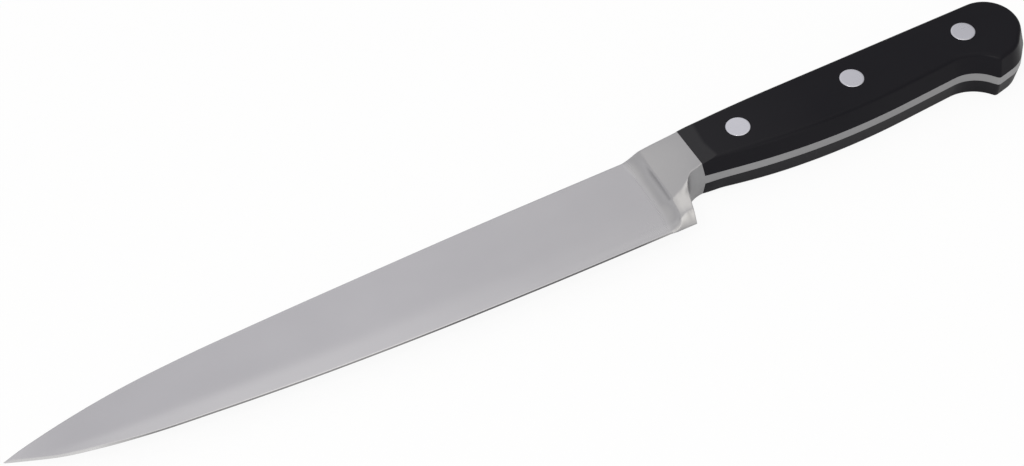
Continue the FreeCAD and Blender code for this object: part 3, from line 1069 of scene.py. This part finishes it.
def floor_material():
    """White paper that stays white where the camera sees it, less so in reflections, and keeps its shadow."""
    material, shader, place = new_material("white_paper", 0.0)
    fibres = noise(place, paper_fibres, detail=2.0)
    feed(shader, "Base Color", between(fibres, *paper_colours))
    shader.inputs["Roughness"].default_value = paper_roughness
    shader.inputs["Specular IOR Level"].default_value = paper_specular
    nodes = material.node_tree.nodes
    path = nodes.new("ShaderNodeLightPath")
    seen = spread(path.outputs["Is Camera Ray"], 0.0, floor_lift)
    for ray in ("Is Glossy Ray", "Is Transmission Ray"):
        seen = combined("ADD", seen, spread(path.outputs[ray], 0.0, floor_shine))
    white = nodes.new("ShaderNodeEmission")
    white.inputs["Strength"].default_value = 1.0
    mix = nodes.new("ShaderNodeMixShader")
    feed(mix, "Fac", seen)
    feed(mix, 1, shader.outputs["BSDF"])
    feed(mix, 2, white.outputs["Emission"])
    feed(nodes["Material Output"], "Surface", mix.outputs["Shader"])
    return material


def make_floor():
    mesh = bpy.data.meshes.new("floor")
    half = floor_size / 2
    corners = [(-half, -half), (half, -half), (half, half), (-half, half)]
    mesh.from_pydata([(x, y, -floor_gap) for x, y in corners], [], [[0, 1, 2, 3]])
    floor = bpy.data.objects.new("floor", mesh)
    bpy.context.scene.collection.objects.link(floor)
    mesh.materials.append(floor_material())


def make_sky():
    """Soft studio: bright overhead and in a band at the back, darker below it, in front and far right."""
    world = bpy.data.worlds.new("studio")
    bpy.context.scene.world = world
    world.use_nodes = True
    nodes = world.node_tree.nodes
    place = nodes.new("ShaderNodeTexCoord").outputs["Generated"]
    ramp = nodes.new("ShaderNodeValToRGB")
    stops = ramp.color_ramp.elements
    while len(stops) < len(sky):
        stops.new(0.5)
    for stop, (height, colour) in zip(stops, sky):
        stop.position = height
        stop.color = (*colour, 1)
    x, y, z = split_place(place)
    height = combined("ADD", z, combined("MULTIPLY", y, -sky_lean))
    feed(ramp, "Fac", combined("ADD", height, sky_start))
    background = nodes["Background"]
    feed(background, "Color", ramp.outputs["Color"])
    strength = spread(y, 1.0, sky_front[2], *sky_front[:2])
    for start, end, change in sky_sides:
        strength = combined("MULTIPLY", strength, spread(x, 1.0, change, start, end))
    feed(background, "Strength", strength)


def make_light(name, place, size, colour, watts):
    """Soft light that faces the knife."""
    lamp = bpy.data.lights.new(name, "AREA")
    lamp.shape = "RECTANGLE"
    lamp.size, lamp.size_y = size
    lamp.energy = watts
    lamp.color = colour
    light = bpy.data.objects.new(name, lamp)
    light.location = place
    light.rotation_mode = "QUATERNION"
    light.rotation_quaternion = (-Vector(place)).to_track_quat("-Z", "Y")
    bpy.context.scene.collection.objects.link(light)


def make_camera():
    azimuth, elevation = math.radians(view_azimuth), math.radians(view_elevation)
    level = math.cos(elevation)
    back = Vector((math.sin(azimuth) * level, -math.cos(azimuth) * level, math.sin(elevation)))
    head = Vector(((head_low.x + head_high.x) / 2, origin.y, scale_high.z))
    camera = bpy.data.objects.new("camera", bpy.data.cameras.new("camera"))
    camera.data.sensor_fit = "HORIZONTAL"
    camera.data.sensor_width = sensor_width
    camera.data.lens = focal_pixels / image_width * sensor_width
    camera.location = head + Vector(view_from_rivet) + back * view_distance
    camera.rotation_mode = "QUATERNION"
    camera.rotation_quaternion = (-back).to_track_quat("-Z", "Y")
    bpy.context.scene.collection.objects.link(camera)
    bpy.context.scene.camera = camera


def make_knife():
    tang_steel = brushed_metal("tang_steel", *tang_finish_and_shade)
    rivet_metal = brushed_metal("rivet_metal", *rivet_finish)
    plastic = moulded_plastic()
    blade = forged_blade([forged_steel(), honed_edge(), tang_steel])
    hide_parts("blade")
    pieces = [(blade, "blade_steel")]
    for name, side in (("left", 1), ("right", -1)):
        piece = scale(name + "_handle_scale", side, plastic)
        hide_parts(name + "_scale")
        pieces.append((piece, "scale_plastic"))
    for name, x in zip(rivet_names, rivet_places()):
        for half, side in (("post", 1), ("sleeve", -1)):
            piece = rivet_half(name + "_" + half, x, side, rivet_metal)
            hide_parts(name + "_rivet_" + half)
            pieces.append((piece, "rivet_metal"))
    for piece, slot in pieces:
        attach(piece, "root")


make_floor()
make_sky()
for lamp in lamps:
    make_light(*lamp)
make_camera()
make_knife()
bpy.context.scene.view_settings.view_transform = "Standard"
